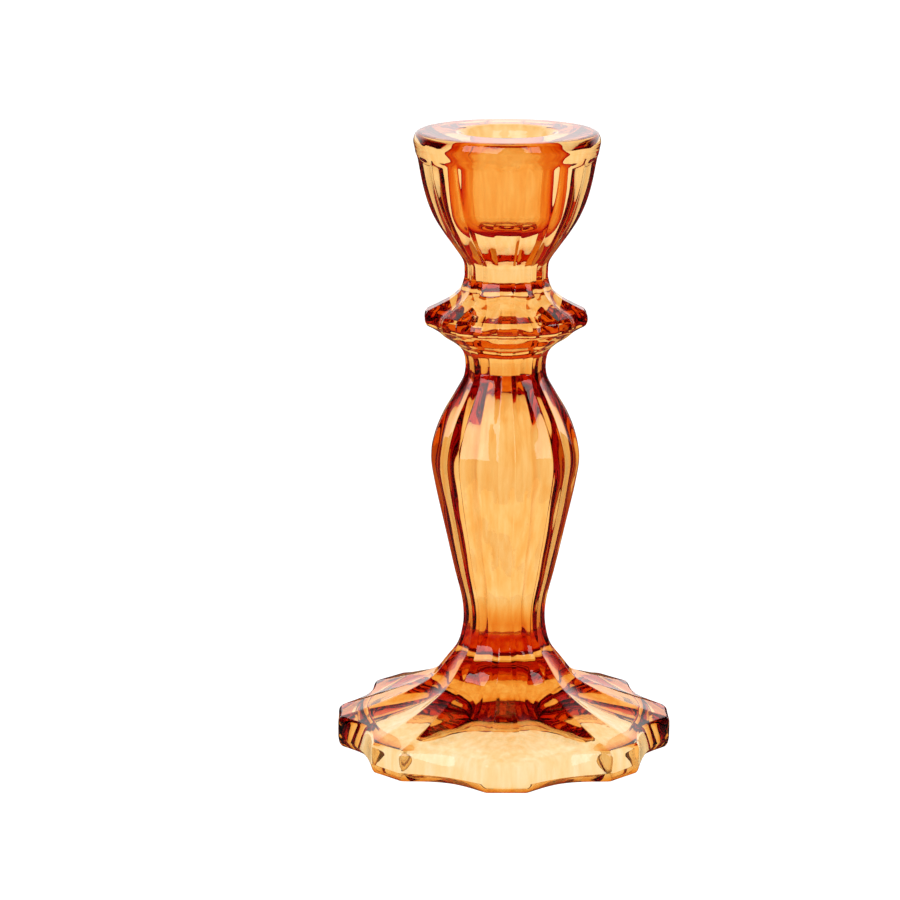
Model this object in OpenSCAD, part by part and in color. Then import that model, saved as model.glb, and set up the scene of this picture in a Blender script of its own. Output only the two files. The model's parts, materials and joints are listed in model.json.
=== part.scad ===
// Pressed-glass candlestick: a lobed foot, a ridged baluster stem, a lobed collar and a
// fluted candle cup, fused to one another at flat joints. +Z is up, and the origin is the
// middle of the underside. Millimetres.

/* [Overall] */
// Height from the table to the rim
body_h = 170; // [160:1:180]
// Width across two opposite lobes of the foot
foot_d = 91.2; // [88:0.1:96]
// Greatest width of the stem
belly_d = 40.2; // [38:0.1:42]
// Width across two opposite lobes of the collar
collar_d = 43.6; // [42:0.1:46]
// Width across the rim of the candle cup
rim_d = 50; // [48:0.1:52]

/* [Candle socket] */
// Diameter of the straight part of the socket
socket_d = 19.6; // [18:0.1:20.4]
// Diameter of the mouth, where the rounded lip begins
mouth_d = 22.6; // [22:0.1:23.4]
// Depth of the socket below the rim
socket_depth = 23; // [20:0.5:26]
// Radius between the socket's wall and its floor
socket_corner = 4; // [1:0.5:5]

/* [Pattern] */
// Half the angle that a lobe's flat face takes up, between its two ridges
lobe_face = 6.4; // [5:0.1:8]
// Softness of the ridges, in degrees
ridge_softness = 0.9; // [0.2:0.1:2]
// Depth of the scoops between the stem's ridges, as a share of the radius
stem_scoop = 0.055; // [0.03:0.005:0.08]
// Depth of the cup's flutes, as a share of the radius
cup_scoop = 0.028; // [0.01:0.002:0.04]

/* [Underside] */
// Width of the hollow under the foot, where it meets the table
hollow_d = 78; // [74:0.5:78.5]
// Height of the hollow in the middle
hollow_h = 12.6; // [8:0.1:13]

/* [Hidden] */

lobes = 8;
pitch = 360 / lobes;
cup_face = pitch / 4;   // the cup's flutes are even, two to each lobe
face_points = 4;
scoop_points = 8;
per_lobe = face_points + scoop_points;
steps = 2;              // mesh rings from one outline point to the next
round_fn = 96;
past = 1;               // how far a cutter runs past the face that it opens

// One unit is a millimetre on a candlestick 170 high.
u = body_h / 170;

// The joints between the pieces: height and ridge radius
foot_top = 23.9 * u;
foot_joint_r = 15.6 * u;
stem_top = 105.7 * u;
stem_joint_r = 10.8 * u;
collar_top = 131.9 * u;
cup_joint_r = 11.4 * u;

foot_r = foot_d / 2;
belly_r = belly_d / 2;
collar_r = collar_d / 2;
rim_r = rim_d / 2;
waist_r = 11.15 * u;
socket_r = socket_d / 2;
mouth_r = mouth_d / 2;
hollow_r = hollow_d / 2;
roof_r = hollow_r - 2.4 * u;
roof_z = 6.5 * u;

// Outlines are [radius, height], from the bottom up. A lobe outline follows the middle of a
// lobe, and a scoop outline follows the middle of the scoop between two lobes. An edge is
// given as [radius from the widest point, height].
foot_edge_lobe =
    [[-0.9, 0], [-0.35, 0.9], [-0.05, 2.3], [0, 3.1], [0, 6.6], [-0.2, 7.7], [-0.9, 8.5]] * u;
foot_edge_scoop =
    [[-5.6, 0], [-4.6, 0.7], [-3.1, 2.3], [-3, 3.1], [-3.6, 5.8], [-4.5, 8], [-5.4, 8.8]] * u;
foot_slope_lobe = [
    [foot_r - 0.9 * u, 8.5 * u],
    [foot_r - 4.6 * u, 9.6 * u],
    [foot_r - 9.4 * u, 11.3 * u],
    [foot_r - 14.6 * u, 13.2 * u],
    [24.4 * u, 16.2 * u],
    [19.4 * u, 19.3 * u],
    [foot_joint_r, foot_top],
];
foot_slope_scoop = [
    [foot_r - 5.4 * u, 8.8 * u],
    [foot_r - 8 * u, 9.4 * u],
    [foot_r - 11.8 * u, 10.6 * u],
    [foot_r - 16 * u, 12.2 * u],
    [23.3 * u, 15.2 * u],
    [18.5 * u, 18.8 * u],
    [foot_joint_r * (1 - stem_scoop), foot_top],
];

stem_outline = [
    [foot_joint_r, foot_top],
    [12.75 * u, 27.8 * u],
    [11.55 * u, 32.1 * u],
    [waist_r, 36.8 * u],
    [11.7 * u, 42 * u],
    [13.7 * u, 50 * u],
    [0.815 * belly_r, 61.8 * u],
    [0.945 * belly_r, 73.8 * u],
    [belly_r, 81.2 * u],
    [0.953 * belly_r, 87 * u],
    [0.836 * belly_r, 93.2 * u],
    [13.5 * u, 99 * u],
    [11.4 * u, 102.8 * u],
    [stem_joint_r, stem_top],
];

collar_under = [
    [stem_joint_r, stem_top],
    [11 * u, 108.4 * u],
    [11.7 * u, 110.6 * u],
    [13.4 * u, 112.4 * u],
    [16.1 * u, 114.1 * u],
    [18.2 * u, 115.9 * u],
];
collar_edge_lobe = [[-2, 116.9], [-0.6, 117.7], [0, 118.9], [-0.1, 120.6], [-0.9, 121.8]] * u;
collar_edge_scoop =
    [[-4.1, 116.5], [-2.9, 117.2], [-2.4, 118.5], [-2.8, 120.2], [-3.7, 121.3]] * u;
collar_over_lobe = [
    [18.1 * u, 123.2 * u],
    [14.9 * u, 125 * u],
    [12.4 * u, 127.3 * u],
    [11.5 * u, 130 * u],
    [cup_joint_r, collar_top],
];
collar_over_scoop = [
    [16.2 * u, 122.4 * u],
    [13.9 * u, 124.4 * u],
    [12 * u, 127 * u],
    [11.2 * u, 130 * u],
    [cup_joint_r, collar_top],
];

cup_outline = [
    [cup_joint_r, collar_top],
    [11.75 * u, 135.3 * u],
    [14.3 * u, 139.2 * u],
    [0.686 * rim_r, 143.2 * u],
    [0.788 * rim_r, 147.4 * u],
    [0.866 * rim_r, 152 * u],
    [0.924 * rim_r, 157 * u],
    [0.963 * rim_r, 162.1 * u],
    [0.985 * rim_r, 165.4 * u],
    [rim_r, 167.3 * u],
    [rim_r - 0.3 * u, 168.8 * u],
    [rim_r - 0.9 * u, 169.7 * u],
    [rim_r - 1.8 * u, body_h],
];
flutes_end = 163.4 * u;      // the flutes run out below the plain rim
flutes_fade = 2.2 * u;

// A smooth curve through the points of an outline
function blend(a, b, c, d, t) =
    0.5 * (2 * b + (c - a) * t + (2 * a - 5 * b + 4 * c - d) * t * t
        + (3 * b - a - 3 * c + d) * t * t * t);
function curve(p) =
    let (last = len(p) - 1)
    [
        for (i = [0:last - 1], k = [0:steps - 1])
            blend(
                i == 0 ? 2 * p[0] - p[1] : p[i - 1], p[i], p[i + 1],
                i + 2 > last ? 2 * p[last] - p[last - 1] : p[i + 2], k / steps
            ),
        p[last],
    ];

function ease(t) = let (c = min(max(t, 0), 1)) c * c * (3 - 2 * c);
function mix(a, b, t) = a + (b - a) * t;

// Places across a face or a scoop from -1 up to 1, closer together near its two ridges
function spread(count) = [for (i = [0:count - 1]) sin(180 * i / count - 90)];
across = concat(spread(face_points), spread(scoop_points));
function in_scoop(i) = i >= face_points;
function half_angle(i, face) = in_scoop(i) ? pitch / 2 - face : face;
function angle(k, i, face) =
    k * pitch + (in_scoop(i) ? pitch / 2 : 0) + across[i] * half_angle(i, face);

// 0 on the softened ridges and 1 in the middle of each face and of each scoop
function dish(i, face) =
    let (s = ridge_softness / half_angle(i, face),
         away = 1 - abs(across[i]),
         w = (sqrt(away * away + s * s) - s) / (sqrt(1 + s * s) - s))
    w * (2 - w);

function point(r, angle, z) = [r * cos(angle), r * sin(angle), z];

// One ring with flat faces on its lobes, between a lobe's outline point and a scoop's
function lobed_ring(lobe, scoop) = [
    for (k = [0:lobes - 1], i = [0:per_lobe - 1])
        let (p = in_scoop(i) ? scoop : lobe, d = dish(i, lobe_face))
        point(
            mix(lobe[0] / cos(lobe_face), p[0], d), angle(k, i, lobe_face), mix(lobe[1], p[1], d)
        )
];
function stem_ring(p) = lobed_ring(p, [p[0] * (1 - stem_scoop), p[1]]);

// One ring with sixteen even flutes
function cup_ring(p, fluted) = [
    for (k = [0:lobes - 1], i = [0:per_lobe - 1])
        point(p[0] * (1 - cup_scoop * fluted * dish(i, cup_face)), angle(k, i, cup_face), p[1])
];
function past_flutes(z) = ease((flutes_end - z) / flutes_fade + 0.5);

// A closed solid through rings that are listed from the bottom up. Each end is a flat fan
// about a point on the axis.
module skin(rings) {
    n = len(rings[0]);
    last = len(rings) - 1;
    hub = (last + 1) * n;
    sides = [
        for (j = [0:last - 1], i = [0:n - 1])
            let (a = j * n + i, b = j * n + (i + 1) % n)
            each [[a, a + n, b + n], [a, b + n, b]]
    ];
    ends = [
        for (i = [0:n - 1])
            let (next = (i + 1) % n)
            each [[i, next, hub], [last * n + next, last * n + i, hub + 1]]
    ];
    hubs = [[0, 0, rings[0][0][2]], [0, 0, rings[last][0][2]]];
    polyhedron(concat([for (ring = rings) each ring], hubs), concat(sides, ends));
}

// The rings of an edge, up to where the slope above it begins
function edge_rings(widest_r, lobe, scoop) =
    let (a = curve(lobe), b = curve(scoop), widest = [widest_r, 0])
    [for (k = [0:len(a) - 1]) lobed_ring(widest + a[k], widest + b[k])];

module foot() {
    lobe = curve(foot_slope_lobe);
    scoop = curve(foot_slope_scoop);
    color("darkorange")
    difference() {
        skin(concat(
            edge_rings(foot_r, foot_edge_lobe, foot_edge_scoop),
            [for (k = [1:len(lobe) - 1]) lobed_ring(lobe[k], scoop[k])]
        ));
        underside();
    }
}

// The domed hollow that leaves the foot standing on a ring
module underside() {
    wall = curve([
        [hollow_r, 0],
        [hollow_r - 0.4 * u, 0.9 * u],
        [roof_r + 0.6 * u, roof_z - 1.4 * u],
        [roof_r, roof_z - 0.2 * u],
        [0.97 * roof_r, mix(hollow_h, roof_z, 0.97 * 0.97)],
    ]);
    rotate_extrude($fn = round_fn)
    polygon(concat(
        [[0, -past], [hollow_r, -past]],
        wall,
        [for (t = [0.8:-0.2:-0.01]) [roof_r * max(t, 0), mix(hollow_h, roof_z, t * t)]]
    ));
}

module stem() {
    color("orange")
    skin([for (p = curve(stem_outline)) stem_ring(p)]);
}

module collar() {
    lobe = curve(collar_over_lobe);
    scoop = curve(collar_over_scoop);
    color("orangered")
    skin(concat(
        [for (p = curve(collar_under)) stem_ring(p)],
        edge_rings(collar_r, collar_edge_lobe, collar_edge_scoop),
        [
            for (k = [0:len(lobe) - 1])
                let (to_flutes = ease(k / (len(lobe) - 1)))
                mix(lobed_ring(lobe[k], scoop[k]), cup_ring(lobe[k], 1), to_flutes)
        ]
    ));
}

module candle_cup() {
    color("darkorange")
    difference() {
        skin([for (p = curve(cup_outline)) cup_ring(p, past_flutes(p[1]))]);
        socket();
    }
}

// The candle socket: a rounded floor, a straight bore, a flare and a rounded lip
module socket() {
    floor_z = body_h - socket_depth;
    flare_z = body_h - 6 * u;
    lip = 2.8 * u;
    rotate_extrude($fn = round_fn)
    polygon([
        [0, floor_z],
        for (a = [-90:15:0])
            [
                socket_r - socket_corner + socket_corner * cos(a),
                floor_z + socket_corner + socket_corner * sin(a)
            ],
        [socket_r, flare_z],
        for (a = [0:15:90])
            [mouth_r + lip * (1 - cos(a)), body_h - lip + lip * sin(a)],
        [mouth_r + lip, body_h + past],
        [0, body_h + past],
    ]);
}

foot();
stem();
collar();
candle_cup();
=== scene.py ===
"""A pressed-glass candlestick: four fused sections of clear glass with an amber-orange stain.

The outer skin, the hollow under the foot and the candle socket are one surface of revolution
with lobes and flutes, sampled ring by ring. It is cut into the four real pieces at the heights
where the CAD nodes meet.
"""

import json
import math

import bpy
import numpy as np
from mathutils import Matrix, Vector


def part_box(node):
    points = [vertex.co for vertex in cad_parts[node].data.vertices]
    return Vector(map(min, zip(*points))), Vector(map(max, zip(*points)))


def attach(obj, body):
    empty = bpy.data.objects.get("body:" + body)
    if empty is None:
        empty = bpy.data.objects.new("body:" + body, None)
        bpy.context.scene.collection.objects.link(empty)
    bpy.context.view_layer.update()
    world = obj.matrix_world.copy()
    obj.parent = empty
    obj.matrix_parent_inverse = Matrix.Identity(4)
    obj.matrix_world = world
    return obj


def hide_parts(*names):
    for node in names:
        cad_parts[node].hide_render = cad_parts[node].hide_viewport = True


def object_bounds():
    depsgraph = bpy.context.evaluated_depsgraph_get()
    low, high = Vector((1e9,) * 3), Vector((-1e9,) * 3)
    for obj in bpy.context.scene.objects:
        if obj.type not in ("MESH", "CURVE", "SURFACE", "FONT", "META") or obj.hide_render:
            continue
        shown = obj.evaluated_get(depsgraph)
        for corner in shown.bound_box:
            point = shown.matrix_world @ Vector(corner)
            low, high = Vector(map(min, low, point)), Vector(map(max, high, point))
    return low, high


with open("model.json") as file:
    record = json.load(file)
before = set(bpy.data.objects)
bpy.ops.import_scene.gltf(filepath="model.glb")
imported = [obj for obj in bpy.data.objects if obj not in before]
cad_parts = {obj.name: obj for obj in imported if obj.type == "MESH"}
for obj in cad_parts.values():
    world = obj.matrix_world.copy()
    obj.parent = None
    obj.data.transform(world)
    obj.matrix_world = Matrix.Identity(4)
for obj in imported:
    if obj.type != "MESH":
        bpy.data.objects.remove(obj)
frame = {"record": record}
cad_low, cad_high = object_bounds()

PIECES = ("foot", "stem", "collar", "candle_cup")
BOX = {node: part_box(node) for node in PIECES}

# One unit is a millimetre on a candlestick 170 mm high, as in the CAD.
BODY_H = cad_high.z
U = BODY_H / 170

FOOT_TOP = BOX["stem"][0].z
STEM_TOP = BOX["collar"][0].z
COLLAR_TOP = BOX["candle_cup"][0].z

FOOT_R = BOX["foot"][1].x
BELLY_R = 20.1 * U
COLLAR_R = BOX["collar"][1].x
RIM_R = BOX["candle_cup"][1].x
FOOT_JOINT_R = 15.6 * U
STEM_JOINT_R = 10.8 * U
CUP_JOINT_R = 11.4 * U
WAIST_R = 11.15 * U

SOCKET = next(m for m in frame["record"]["mounts"] if m["name"] == "candle_socket")
SOCKET_R = SOCKET["dims"]["r_mm"] / 1000
MOUTH_R = 11.3 * U
LIP = 2.8 * U
SOCKET_DEPTH = 23 * U
SOCKET_CORNER = 4 * U

# Eight lobes, each with two ridges that run from the foot to the collar, and a scoop between
# lobes. The hollow is the one under the foot.
LOBES = 8
PITCH = 2 * math.pi / LOBES
LOBE_FACE = math.radians(6.4)
CUP_FACE = PITCH / 4
RIDGE_SOFTNESS = math.radians(0.9)
STEM_SCOOP = 0.055
CUP_SCOOP = 0.028
HOLLOW_R = 39 * U
HOLLOW_ROOF_R = HOLLOW_R - 2.4 * U
HOLLOW_ROOF_Z = 6.5 * U
HOLLOW_DEPTH = 12.6 * U

HOLLOW_RINGS = 40
CORNER_RINGS = 20
FACE_POINTS = 12
SCOOP_POINTS = 26
AROUND = LOBES * (FACE_POINTS + SCOOP_POINTS)

# The glass was pressed in a mould that wasn't perfectly smooth.
RIPPLE = 0.03 * U
RIPPLE_WAVES = 14
rng = np.random.default_rng(4)

# Material slots of each piece
SKIN_SLOT, JOINT_SLOT, BARE_SLOT = 0, 1, 2


# ---------------------------------------------------------------- shape rules


def ease(t):
    """0 to 1 with no corner at either end."""
    t = np.clip(t, 0, 1)
    return t * t * (3 - 2 * t)


def mix(a, b, t):
    return a + (b - a) * t


def spread(count):
    """Places across a strip from -1 up to 1, closer together near its two edges."""
    return np.sin((np.arange(count) / count * 2 - 1) * math.pi / 2)


ACROSS = np.tile(np.concatenate([spread(FACE_POINTS), spread(SCOOP_POINTS)]), LOBES)
IS_SCOOP = np.tile(np.repeat([False, True], [FACE_POINTS, SCOOP_POINTS]), LOBES)
LOBE_INDEX = np.repeat(np.arange(LOBES), FACE_POINTS + SCOOP_POINTS)


def angles(face):
    """Each point's angle, when the lobes' faces reach that angle to either side."""
    half = np.where(IS_SCOOP, PITCH / 2 - face, face)
    middle = LOBE_INDEX * PITCH + np.where(IS_SCOOP, PITCH / 2, 0)
    return middle + ACROSS * half


def dish(face):
    """0 on the softened ridges and 1 in the middle of each face and of each scoop."""
    half = np.where(IS_SCOOP, PITCH / 2 - face, face)
    soft = RIDGE_SOFTNESS / half
    w = 1 - np.abs(ACROSS)
    w = (np.sqrt(w * w + soft * soft) - soft) / (np.sqrt(1 + soft * soft) - soft)
    return w * (2 - w)


def lobed_ring(lobe, scoop, face=LOBE_FACE):
    """Angles, radii and heights of a ring with flat faces on its lobes and scoops between them."""
    ridge = lobe[0] / math.cos(face)
    r = mix(ridge, np.where(IS_SCOOP, scoop[0], lobe[0]), dish(face))
    z = mix(lobe[1], np.where(IS_SCOOP, scoop[1], lobe[1]), dish(face))
    return angles(face), r, z


def stem_ring(r, z):
    return lobed_ring((r, z), (r * (1 - STEM_SCOOP), z))


def cup_ring(r, z, fluted=1.0):
    """Sixteen even flutes on the cup, which fade out towards its rim."""
    return angles(CUP_FACE), r * (1 - CUP_SCOOP * fluted * dish(CUP_FACE)), np.full(AROUND, z)


def round_ring(r, z, face=LOBE_FACE):
    return angles(face), np.full(AROUND, r), np.full(AROUND, z)


def blend(ring_a, ring_b, t):
    return tuple(mix(a, b, t) for a, b in zip(ring_a, ring_b))


def curve(points, steps):
    """A smooth Catmull-Rom curve through the points of an outline."""
    p = np.array(points, float)
    p = np.vstack([2 * p[0] - p[1], p, 2 * p[-1] - p[-2]])
    out = []
    for i in range(1, len(p) - 2):
        a, b, c, d = p[i - 1], p[i], p[i + 1], p[i + 2]
        for t in np.arange(steps) / steps:
            out.append(
                0.5
                * (
                    2 * b
                    + (c - a) * t
                    + (2 * a - 5 * b + 4 * c - d) * t**2
                    + (3 * b - a - 3 * c + d) * t**3
                )
            )
    out.append(p[-2])
    return np.array(out)


# ---------------------------------------------------------------- outlines, [radius, height]


def foot_rings():
    """From the middle of the hollow underneath, round the edge and up to the stem."""
    rings = []
    for t in np.linspace(0.004, 0.97, HOLLOW_RINGS):
        rings.append(round_ring(HOLLOW_ROOF_R * t, mix(HOLLOW_DEPTH, HOLLOW_ROOF_Z, t * t)))
    corner = curve(
        [
            [0.97 * HOLLOW_ROOF_R, mix(HOLLOW_DEPTH, HOLLOW_ROOF_Z, 0.97**2)],
            [HOLLOW_ROOF_R, HOLLOW_ROOF_Z - 0.2 * U],
            [HOLLOW_ROOF_R + 0.6 * U, HOLLOW_ROOF_Z - 1.4 * U],
            [HOLLOW_R - 0.4 * U, 0.9 * U],
            [HOLLOW_R, 0],
        ],
        5,
    )
    for r, z in corner[1:]:
        rings.append(round_ring(r, z))
    lobe = curve(
        [[-0.9, 0], [-0.35, 0.9], [-0.05, 2.3], [0, 3.1], [0, 6.6], [-0.2, 7.7], [-0.9, 8.5]], 6
    )
    scoop = curve(
        [[-5.6, 0], [-4.6, 0.7], [-3.1, 2.3], [-3, 3.1], [-3.6, 5.8], [-4.5, 8], [-5.4, 8.8]], 6
    )
    lobe, scoop = lobe * U, scoop * U
    for t in np.linspace(0.15, 0.9, 5):
        out_lobe = mix(HOLLOW_R, FOOT_R + lobe[0][0], t)
        out_scoop = mix(HOLLOW_R, FOOT_R + scoop[0][0], t)
        rings.append(lobed_ring((out_lobe, 0), (out_scoop, 0)))
    for a, b in zip(lobe[:-1], scoop[:-1]):
        rings.append(lobed_ring((FOOT_R + a[0], a[1]), (FOOT_R + b[0], b[1])))
    lobe = curve(
        [
            [FOOT_R - 0.9 * U, 8.5 * U],
            [FOOT_R - 4.6 * U, 9.6 * U],
            [FOOT_R - 9.4 * U, 11.3 * U],
            [FOOT_R - 14.6 * U, 13.2 * U],
            [24.4 * U, 16.2 * U],
            [19.4 * U, 19.3 * U],
            [FOOT_JOINT_R, FOOT_TOP],
        ],
        12,
    )
    scoop = curve(
        [
            [FOOT_R - 5.4 * U, 8.8 * U],
            [FOOT_R - 8 * U, 9.4 * U],
            [FOOT_R - 11.8 * U, 10.6 * U],
            [FOOT_R - 16 * U, 12.2 * U],
            [23.3 * U, 15.2 * U],
            [18.5 * U, 18.8 * U],
            [FOOT_JOINT_R * (1 - STEM_SCOOP), FOOT_TOP],
        ],
        12,
    )
    for a, b in zip(lobe, scoop):
        rings.append(lobed_ring(a, b))
    return rings


def stem_rings():
    outline = curve(
        [
            [FOOT_JOINT_R, FOOT_TOP],
            [12.75 * U, 27.8 * U],
            [11.55 * U, 32.1 * U],
            [WAIST_R, 36.8 * U],
            [11.7 * U, 42 * U],
            [13.7 * U, 50 * U],
            [0.815 * BELLY_R, 61.8 * U],
            [0.945 * BELLY_R, 73.8 * U],
            [BELLY_R, 81.2 * U],
            [0.953 * BELLY_R, 87 * U],
            [0.836 * BELLY_R, 93.2 * U],
            [13.5 * U, 99 * U],
            [11.4 * U, 102.8 * U],
            [STEM_JOINT_R, STEM_TOP],
        ],
        12,
    )
    return [stem_ring(r, z) for r, z in outline]


def collar_rings():
    rings = []
    under = curve(
        [
            [STEM_JOINT_R, STEM_TOP],
            [11 * U, 108.4 * U],
            [11.7 * U, 110.6 * U],
            [13.4 * U, 112.4 * U],
            [16.1 * U, 114.1 * U],
            [18.2 * U, 115.9 * U],
        ],
        10,
    )
    for r, z in under:
        rings.append(stem_ring(r, z))
    lobe = curve([[-2, 116.9], [-0.6, 117.7], [0, 118.9], [-0.1, 120.6], [-0.9, 121.8]], 8)
    scoop = curve(
        [[-4.1, 116.5], [-2.9, 117.2], [-2.4, 118.5], [-2.8, 120.2], [-3.7, 121.3]], 8
    )
    lobe, scoop = lobe * U, scoop * U
    for a, b in zip(lobe, scoop):
        rings.append(lobed_ring((COLLAR_R + a[0], a[1]), (COLLAR_R + b[0], b[1])))
    lobe = curve(
        [
            [18.1 * U, 123.2 * U],
            [14.9 * U, 125 * U],
            [12.4 * U, 127.3 * U],
            [11.5 * U, 130 * U],
            [CUP_JOINT_R, COLLAR_TOP],
        ],
        10,
    )
    scoop = curve(
        [
            [16.2 * U, 122.4 * U],
            [13.9 * U, 124.4 * U],
            [12 * U, 127 * U],
            [11.2 * U, 130 * U],
            [CUP_JOINT_R * (1 - CUP_SCOOP), COLLAR_TOP],
        ],
        10,
    )
    for up, a, b in zip(np.linspace(0, 1, len(lobe)), lobe, scoop):
        rings.append(blend(lobed_ring(a, b), cup_ring(*a), float(ease(up))))
    return rings


def cup_rings():
    """Up the fluted wall, over the rim and down the socket to the middle of its floor."""
    rings = []
    outline = curve(
        [
            [CUP_JOINT_R, COLLAR_TOP],
            [11.75 * U, 135.3 * U],
            [14.3 * U, 139.2 * U],
            [0.686 * RIM_R, 143.2 * U],
            [0.788 * RIM_R, 147.4 * U],
            [0.866 * RIM_R, 152 * U],
            [0.924 * RIM_R, 157 * U],
            [0.963 * RIM_R, 162.1 * U],
            [0.985 * RIM_R, 165.4 * U],
            [RIM_R, 167.3 * U],
            [RIM_R - 0.3 * U, 168.8 * U],
            [RIM_R - 0.9 * U, 169.7 * U],
            [RIM_R - 1.8 * U, BODY_H],
        ],
        10,
    )
    for r, z in outline:
        rings.append(cup_ring(r, z, float(ease((163.4 * U - z) / (2.2 * U) + 0.5))))
    for r in np.linspace(RIM_R - 2.4 * U, MOUTH_R + LIP, 12):
        rings.append(round_ring(r, BODY_H, CUP_FACE))
    for a in np.radians(np.arange(84, -1, -6)):
        r = MOUTH_R + LIP * (1 - math.cos(a))
        rings.append(round_ring(r, BODY_H - LIP + LIP * math.sin(a), CUP_FACE))
    floor_z = BODY_H - SOCKET_DEPTH
    for t in np.linspace(0.1, 1, 10):
        r = mix(MOUTH_R, SOCKET_R, t)
        rings.append(round_ring(r, mix(BODY_H - LIP, BODY_H - 6 * U, t), CUP_FACE))
    for z in np.linspace(BODY_H - 7 * U, floor_z + SOCKET_CORNER, 16):
        rings.append(round_ring(SOCKET_R, z, CUP_FACE))
    for a in np.radians(np.arange(-6, -91, -6)):
        r = SOCKET_R - SOCKET_CORNER + SOCKET_CORNER * math.cos(a)
        z = floor_z + SOCKET_CORNER + SOCKET_CORNER * math.sin(a)
        rings.append(round_ring(r, z, CUP_FACE))
    for t in np.linspace(0.93, 0.01, 12):
        rings.append(round_ring((SOCKET_R - SOCKET_CORNER) * t, floor_z, CUP_FACE))
    return rings


# ---------------------------------------------------------------- meshes


def ripple(theta, z):
    """A slight unevenness of the skin, as a sum of waves round and along it."""
    height = np.zeros_like(z)
    for _ in range(RIPPLE_WAVES):
        round_about = rng.integers(2, 22)
        along = rng.uniform(60, 420)
        phase = rng.uniform(0, 2 * math.pi)
        height += np.sin(round_about * theta + along * z + phase)
    return RIPPLE * height / math.sqrt(RIPPLE_WAVES / 2)


def grid(rings):
    """Points of rings, as an array of ring, place in the ring, and x, y, z."""
    theta = np.array([one[0] for one in rings])
    r = np.array([one[1] for one in rings])
    z = np.array([one[2] for one in rings])
    above_table = ease((z - 0.5 * U) / (2 * U))
    below_rim = ease((BODY_H - 1 * U - z) / (3 * U))
    r = r + ripple(theta, z) * (above_table * below_rim)
    return np.stack([r * np.cos(theta), r * np.sin(theta), z], axis=2)


def grid_normals(points):
    """Outward normals of the whole skin, so that they carry on across the joints."""
    along = np.gradient(points, axis=0)
    round_about = np.roll(points, -1, axis=1) - np.roll(points, 1, axis=1)
    normal = np.cross(round_about, along)
    length = np.linalg.norm(normal, axis=2, keepdims=True)
    return normal / np.maximum(length, 1e-12)


def section_mesh(name, points, normals):
    """A closed mesh of one section: its glass skin, and a flat fan over each fused end."""
    rings, around = points.shape[:2]
    index = np.arange(rings * around).reshape(rings, around)
    after = np.roll(index, -1, axis=1)
    quads = np.stack([index[:-1], after[:-1], after[1:], index[1:]], axis=2).reshape(-1, 4)
    verts = points.reshape(-1, 3)
    hubs = np.array([points[0].mean(axis=0), points[-1].mean(axis=0)])
    verts = np.vstack([verts, hubs])
    low_hub, high_hub = len(verts) - 2, len(verts) - 1
    low = [(int(after[0, i]), int(index[0, i]), low_hub) for i in range(around)]
    high = [(int(index[-1, i]), int(after[-1, i]), high_hub) for i in range(around)]
    mesh = bpy.data.meshes.new(name)
    mesh.from_pydata(verts.tolist(), [], quads.tolist() + low + high)
    # An end that closes to a point on the axis is skin, and a wide one is a fused joint.
    ends = [np.linalg.norm(end[0, :2]) > 1 * U for end in (points[0], points[-1])]
    slots = [SKIN_SLOT] * len(quads)
    for end_is_joint in ends:
        slots += [JOINT_SLOT if end_is_joint else SKIN_SLOT] * around
    mesh.polygons.foreach_set("material_index", slots)
    smooth = [True] * len(quads) + [False] * around * 2
    mesh.polygons.foreach_set("use_smooth", smooth)
    mesh.update()
    corner_verts = np.empty(len(mesh.loops), int)
    mesh.loops.foreach_get("vertex_index", corner_verts)
    skin = normals.reshape(-1, 3)
    loop_normals = np.zeros((len(corner_verts), 3))
    side_corners = len(quads) * 4
    loop_normals[:side_corners] = skin[corner_verts[:side_corners]]
    loop_normals[side_corners : side_corners + around * 3, 2] = -1
    loop_normals[side_corners + around * 3 :, 2] = 1
    mesh.normals_split_custom_set(loop_normals.tolist())
    return mesh


# ---------------------------------------------------------------- materials

GLASS_IOR = 1.52
LEAST_COSINE = 0.1
STREAKS = 0.25
STREAK_SCALE = 450.0
STREAK_STRETCH = 0.22
# How thick the stain is, against its usual thickness, at each share of the height: painted shade
# and painted light, chosen so that the necks and the standing edge come out dark and the cup pale.
SHADE_BY_HEIGHT = (
    (0.0, 2.4),
    (0.012, 1.0),
    (0.05, 0.95),
    (0.08, 1.25),
    (0.14, 1.5),
    (0.19, 2.1),
    (0.25, 1.0),
    (0.55, 1.05),
    (0.61, 1.5),
    (0.66, 1.0),
    (0.7, 1.05),
    (0.76, 0.85),
    (0.84, 0.72),
    (1.0, 0.75),
)
GRAIN_SCALE = 220.0
BUMP = 0.00002
STAIN = (0.938, 0.69, 0.375)
BARE = (0.99, 0.98, 0.95)


def node_math(nt, operation, *values):
    """A Math node whose inputs are numbers or other nodes' outputs."""
    node = nt.nodes.new("ShaderNodeMath")
    node.operation = operation
    for socket, value in zip(node.inputs, values):
        if isinstance(value, (int, float)):
            socket.default_value = value
        else:
            nt.links.new(value, socket)
    return node.outputs[0]


def multiply_colors(nt, a, b):
    """A Mix node that multiplies two colours."""
    node = nt.nodes.new("ShaderNodeMix")
    node.data_type = "RGBA"
    node.blend_type = "MULTIPLY"
    node.inputs[0].default_value = 1.0
    nt.links.new(a, node.inputs[6])
    nt.links.new(b, node.inputs[7])
    return node.outputs[2]


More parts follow.
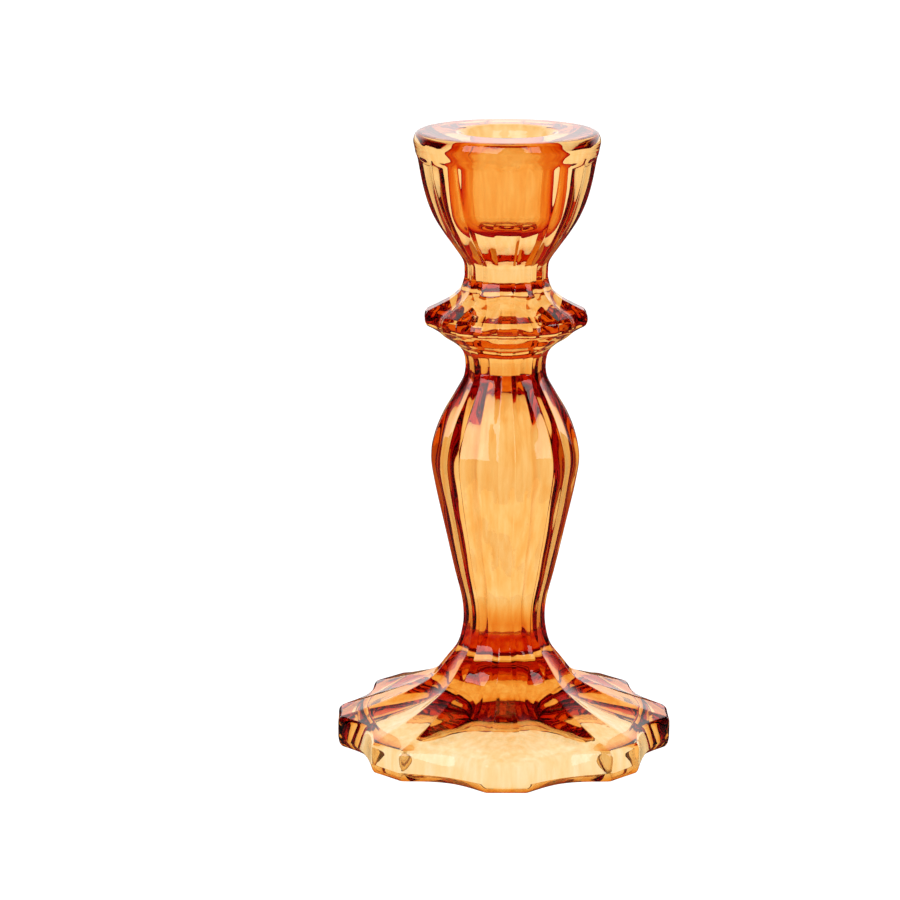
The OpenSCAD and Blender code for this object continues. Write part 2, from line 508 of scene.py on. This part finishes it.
def stain_and_shade_thickness(nt):
    """How thick the stain is: painted shade thickens it by height, and it lies in faint upright
    streaks.
    """
    place = nt.nodes.new("ShaderNodeTexCoord")
    axes = nt.nodes.new("ShaderNodeSeparateXYZ")
    nt.links.new(place.outputs["Object"], axes.inputs[0])
    # Painted shade: the stain is thickened by height so the necks and the standing edge come out
    # dark and the cup pale.
    shaded_by_height = nt.nodes.new("ShaderNodeValToRGB")
    nt.links.new(node_math(nt, "DIVIDE", axes.outputs["Z"], BODY_H), shaded_by_height.inputs[0])
    ramp = shaded_by_height.color_ramp
    while len(ramp.elements) < len(SHADE_BY_HEIGHT):
        ramp.elements.new(0.5)
    for element, (height, _) in zip(ramp.elements, SHADE_BY_HEIGHT):
        element.position = height
    for element, (_, amount) in zip(ramp.elements, SHADE_BY_HEIGHT):
        element.color = (amount / 2, amount / 2, amount / 2, 1)
    stretch = nt.nodes.new("ShaderNodeMapping")
    stretch.inputs["Scale"].default_value = (1, 1, STREAK_STRETCH)
    nt.links.new(place.outputs["Object"], stretch.inputs["Vector"])
    streaks = nt.nodes.new("ShaderNodeTexNoise")
    streaks.inputs["Scale"].default_value = STREAK_SCALE
    streaks.inputs["Detail"].default_value = 4.0
    nt.links.new(stretch.outputs["Vector"], streaks.inputs["Vector"])
    amount = nt.nodes.new("ShaderNodeMapRange")
    nt.links.new(streaks.outputs[0], amount.inputs["Value"])
    amount.inputs["From Min"].default_value = 0.3
    amount.inputs["From Max"].default_value = 0.7
    amount.inputs["To Min"].default_value = 1 - STREAKS
    amount.inputs["To Max"].default_value = 1 + STREAKS
    painted_shade = node_math(nt, "MULTIPLY", shaded_by_height.outputs["Color"], 2.0)
    return node_math(nt, "MULTIPLY", painted_shade, amount.outputs["Result"])


def mould_texture(nt, *shaders):
    """The faint unevenness that the mould leaves on the skin."""
    place = nt.nodes.new("ShaderNodeTexCoord")
    grain = nt.nodes.new("ShaderNodeTexNoise")
    grain.inputs["Scale"].default_value = GRAIN_SCALE
    grain.inputs["Detail"].default_value = 2.0
    nt.links.new(place.outputs["Object"], grain.inputs["Vector"])
    bump = nt.nodes.new("ShaderNodeBump")
    bump.inputs["Strength"].default_value = 1.0
    bump.inputs["Distance"].default_value = BUMP
    nt.links.new(grain.outputs[0], bump.inputs["Height"])
    for shader in shaders:
        nt.links.new(bump.outputs["Normal"], shader.inputs["Normal"])


def stained_glass(name, stain=STAIN):
    """Clear glass with a transparent stain on its skin.

    Light is tinted once each time it goes through the stain. A slanting ray has a longer way
    through it, so it is tinted more. Light that is reflected inside is tinted three times: a
    thin stain would tint it twice, and the third is there to deepen the red bands.
    """
    mat = bpy.data.materials.new(name)
    mat.use_nodes = True
    nt = mat.node_tree
    nt.nodes.clear()
    out = nt.nodes.new("ShaderNodeOutputMaterial")
    share = nt.nodes.new("ShaderNodeMixShader")
    fresnel = nt.nodes.new("ShaderNodeFresnel")
    fresnel.inputs["IOR"].default_value = GLASS_IOR
    bend = nt.nodes.new("ShaderNodeBsdfRefraction")
    bend.inputs["IOR"].default_value = GLASS_IOR
    bend.inputs["Roughness"].default_value = 0.0
    mirror = nt.nodes.new("ShaderNodeBsdfGlossy")
    mirror.inputs["Roughness"].default_value = 0.0
    side = nt.nodes.new("ShaderNodeNewGeometry")
    slant = nt.nodes.new("ShaderNodeLayerWeight")
    slant.inputs["Blend"].default_value = 0.5
    inside = side.outputs["Backfacing"]
    cosine = node_math(nt, "SUBTRACT", 1.0, slant.outputs["Facing"])
    sine2 = node_math(nt, "SUBTRACT", 1.0, node_math(nt, "MULTIPLY", cosine, cosine))
    bent = node_math(
        nt, "SQRT", node_math(nt, "SUBTRACT", 1.0, node_math(nt, "DIVIDE", sine2, GLASS_IOR**2))
    )
    in_glass = nt.nodes.new("ShaderNodeMix")
    nt.links.new(inside, in_glass.inputs[0])
    nt.links.new(bent, in_glass.inputs[2])
    nt.links.new(cosine, in_glass.inputs[3])
    least = node_math(nt, "MAXIMUM", in_glass.outputs[0], LEAST_COSINE)
    slanting = node_math(nt, "DIVIDE", 1.0, least)
    way = node_math(nt, "MULTIPLY", slanting, stain_and_shade_thickness(nt))
    tint = nt.nodes.new("ShaderNodeCombineColor")
    for channel, share_left in enumerate(stain):
        nt.links.new(node_math(nt, "POWER", share_left, way), tint.inputs[channel])
    twice = multiply_colors(nt, tint.outputs[0], tint.outputs[0])
    thrice = multiply_colors(nt, twice, tint.outputs[0])
    mirror_tint = nt.nodes.new("ShaderNodeMix")
    mirror_tint.data_type = "RGBA"
    nt.links.new(inside, mirror_tint.inputs[0])
    mirror_tint.inputs[6].default_value = (1, 1, 1, 1)
    nt.links.new(thrice, mirror_tint.inputs[7])
    nt.links.new(tint.outputs[0], bend.inputs["Color"])
    nt.links.new(mirror_tint.outputs[2], mirror.inputs["Color"])
    mould_texture(nt, bend, mirror)
    nt.links.new(fresnel.outputs[0], share.inputs[0])
    nt.links.new(bend.outputs[0], share.inputs[1])
    nt.links.new(mirror.outputs[0], share.inputs[2])
    nt.links.new(share.outputs[0], out.inputs["Surface"])
    return mat


def fused_joint():
    """Where two sections are fused there is no surface left, so light goes straight on."""
    mat = bpy.data.materials.new("fused_joint")
    mat.use_nodes = True
    nt = mat.node_tree
    nt.nodes.clear()
    out = nt.nodes.new("ShaderNodeOutputMaterial")
    clear = nt.nodes.new("ShaderNodeBsdfTransparent")
    nt.links.new(clear.outputs[0], out.inputs["Surface"])
    return mat


# ---------------------------------------------------------------- build

parts = {
    "foot": foot_rings(),
    "stem": stem_rings(),
    "collar": collar_rings(),
    "candle_cup": cup_rings(),
}
skin_rings = []
spans = {}
for part_name, part_rings in parts.items():
    first = len(skin_rings) - 1 if skin_rings else 0
    skin_rings += part_rings[1:] if skin_rings else part_rings
    spans[part_name] = (first, len(skin_rings))

skin_points = grid(skin_rings)
skin_normals = grid_normals(skin_points)
joint = fused_joint()

for part_name, (first, last) in spans.items():
    mesh = section_mesh(part_name, skin_points[first:last], skin_normals[first:last])
    piece = bpy.data.objects.new(f"{part_name}_glass", mesh)
    bpy.context.collection.objects.link(piece)
    mesh.materials.append(stained_glass(f"{part_name}_stained_glass"))
    mesh.materials.append(joint)
    if part_name == "foot":
        mesh.materials.append(stained_glass("bare_glass", BARE))
        for face in range((HOLLOW_RINGS + CORNER_RINGS) * AROUND):
            mesh.polygons[face].material_index = BARE_SLOT
    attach(piece, "root")
    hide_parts(part_name)


# ---------------------------------------------------------------- studio


FLOOR_HALF = 3.0
FLOOR_DROP = 0.0003  # so that it isn't in one plane with the underside
FLOOR_GLOW = 1.15


def pale_floor():
    """A pale floor that glows about as white as the walls, but looks dark to reflected rays."""
    mesh = bpy.data.meshes.new("floor")
    half, drop = FLOOR_HALF, -FLOOR_DROP
    corners = [(-half, -half, drop), (half, -half, drop), (half, half, drop), (-half, half, drop)]
    mesh.from_pydata(corners, [], [(0, 1, 2, 3)])
    floor = bpy.data.objects.new("floor", mesh)
    bpy.context.collection.objects.link(floor)
    mat = bpy.data.materials.new("pale_paper")
    mat.use_nodes = True
    shade = mat.node_tree.nodes["Principled BSDF"]
    shade.inputs["Base Color"].default_value = (0.12, 0.12, 0.12, 1)
    shade.inputs["Roughness"].default_value = 0.9
    shade.inputs["Specular IOR Level"].default_value = 0.0
    shade.inputs["Emission Color"].default_value = (1, 1, 1, 1)
    nt = mat.node_tree
    seen = nt.nodes.new("ShaderNodeLightPath")
    lit = node_math(nt, "SUBTRACT", 1.0, seen.outputs["Is Reflection Ray"])
    nt.links.new(node_math(nt, "MULTIPLY", lit, FLOOR_GLOW), shade.inputs["Emission Strength"])
    mesh.materials.append(mat)
    return floor


# The levels are listed here. They aren't those of a real room, where every ray sees the same.
STUDIO_WHITE = 1.3
STUDIO_DARK = 0.015
DEEP_BOUNCES = 2.5
DEEP_SHADE = 0.42


def studio_world():
    """Surroundings whose level depends on the kind of ray.

    The camera sees plain white. Reflected rays see a dark room, except behind the candlestick.
    Rays that leave the glass see white, or a shaded front after three bounces or more.
    """
    world = bpy.data.worlds.new("studio")
    bpy.context.scene.world = world
    world.use_nodes = True
    nt = world.node_tree
    back = nt.nodes["Background"]
    back.inputs["Color"].default_value = (1, 1, 1, 1)
    direction = nt.nodes.new("ShaderNodeTexCoord")
    axes = nt.nodes.new("ShaderNodeSeparateXYZ")
    nt.links.new(direction.outputs["Generated"], axes.inputs[0])

    def band(socket, start, end):
        """0 before start and 1 past end, with a soft step between."""
        step = nt.nodes.new("ShaderNodeMapRange")
        step.interpolation_type = "SMOOTHSTEP"
        nt.links.new(socket, step.inputs["Value"])
        step.inputs["From Min"].default_value = start
        step.inputs["From Max"].default_value = end
        return step.outputs["Result"]

    front = band(axes.outputs["Y"], 0.8, 0.5)
    seen = nt.nodes.new("ShaderNodeLightPath")
    dark = node_math(nt, "MULTIPLY", front, seen.outputs["Is Reflection Ray"])
    deep = node_math(nt, "GREATER_THAN", seen.outputs["Ray Depth"], DEEP_BOUNCES)
    shade = node_math(nt, "MULTIPLY", band(axes.outputs["Y"], 0.5, -0.5), deep)
    level = nt.nodes.new("ShaderNodeMapRange")
    darkest = node_math(nt, "MAXIMUM", dark, node_math(nt, "MULTIPLY", shade, DEEP_SHADE))
    nt.links.new(darkest, level.inputs["Value"])
    level.inputs["To Min"].default_value = STUDIO_WHITE
    level.inputs["To Max"].default_value = STUDIO_DARK
    shown = nt.nodes.new("ShaderNodeMix")
    nt.links.new(seen.outputs["Is Camera Ray"], shown.inputs[0])
    nt.links.new(level.outputs["Result"], shown.inputs[2])
    shown.inputs[3].default_value = 1.0
    nt.links.new(shown.outputs[0], back.inputs["Strength"])


def softbox(name, azimuth, elevation, away, width, height, radiance):
    """A rectangular light at azimuth degrees right of the camera's side, facing the candlestick.

    It is seen in reflections and lights the floor a little. The camera and the rays that pass
    through the glass don't see it.
    """
    data = bpy.data.lights.new(name, "AREA")
    data.shape = "RECTANGLE"
    data.size = width
    data.size_y = height
    data.energy = radiance * math.pi * width * height
    data.color = (0.97, 0.97, 1.0)
    box = bpy.data.objects.new(name, data)
    bpy.context.collection.objects.link(box)
    a, e = math.radians(azimuth), math.radians(elevation)
    way = Vector((math.sin(a) * math.cos(e), -math.cos(a) * math.cos(e), math.sin(e)))
    box.location = Vector((0, 0, 0.5 * BODY_H)) + way * away
    box.rotation_euler = way.to_track_quat("Z", "Y").to_euler()
    box.visible_camera = False
    box.visible_transmission = False
    return box


# Where the camera stands and looks, in heights of the candlestick and in degrees
CAMERA_AWAY = 5.267
CAMERA_HEIGHT = 1.746
LOOK_DROP = 1.246
LOOK_DOWN = 0.144
LOOK_ASIDE = 0.993
SWING = -1.2
ROLL = -0.14
LENS_MM = 135.4


def camera():
    """The camera stands in front, above the rim, and sees the candlestick right of centre."""
    data = bpy.data.cameras.new("camera")
    data.sensor_width = 36
    data.lens = LENS_MM
    cam = bpy.data.objects.new("camera", data)
    bpy.context.collection.objects.link(cam)
    away = CAMERA_AWAY * BODY_H
    swing = math.radians(SWING)
    cam.location = (away * math.sin(swing), -away * math.cos(swing), CAMERA_HEIGHT * BODY_H)
    fall = math.atan2(LOOK_DROP * BODY_H, away) + math.radians(LOOK_DOWN)
    turn = swing + math.radians(LOOK_ASIDE)
    cam.rotation_euler = (math.pi / 2 - fall, math.radians(ROLL), turn)
    bpy.context.scene.camera = cam
    return cam


pale_floor()
studio_world()
softbox(
    "softbox_left", azimuth=-33, elevation=26, away=0.9, width=0.75, height=0.7, radiance=3.4
)
softbox(
    "softbox_right", azimuth=30, elevation=26, away=0.9, width=0.3, height=0.7, radiance=2.8
)
camera()

scene = bpy.context.scene
scene.view_settings.view_transform = "Standard"
BOUNCES = 32
scene.cycles.max_bounces = BOUNCES
scene.cycles.transmission_bounces = BOUNCES
scene.cycles.glossy_bounces = BOUNCES
scene.cycles.transparent_max_bounces = BOUNCES
scene.cycles.caustics_refractive = True
scene.cycles.caustics_reflective = True
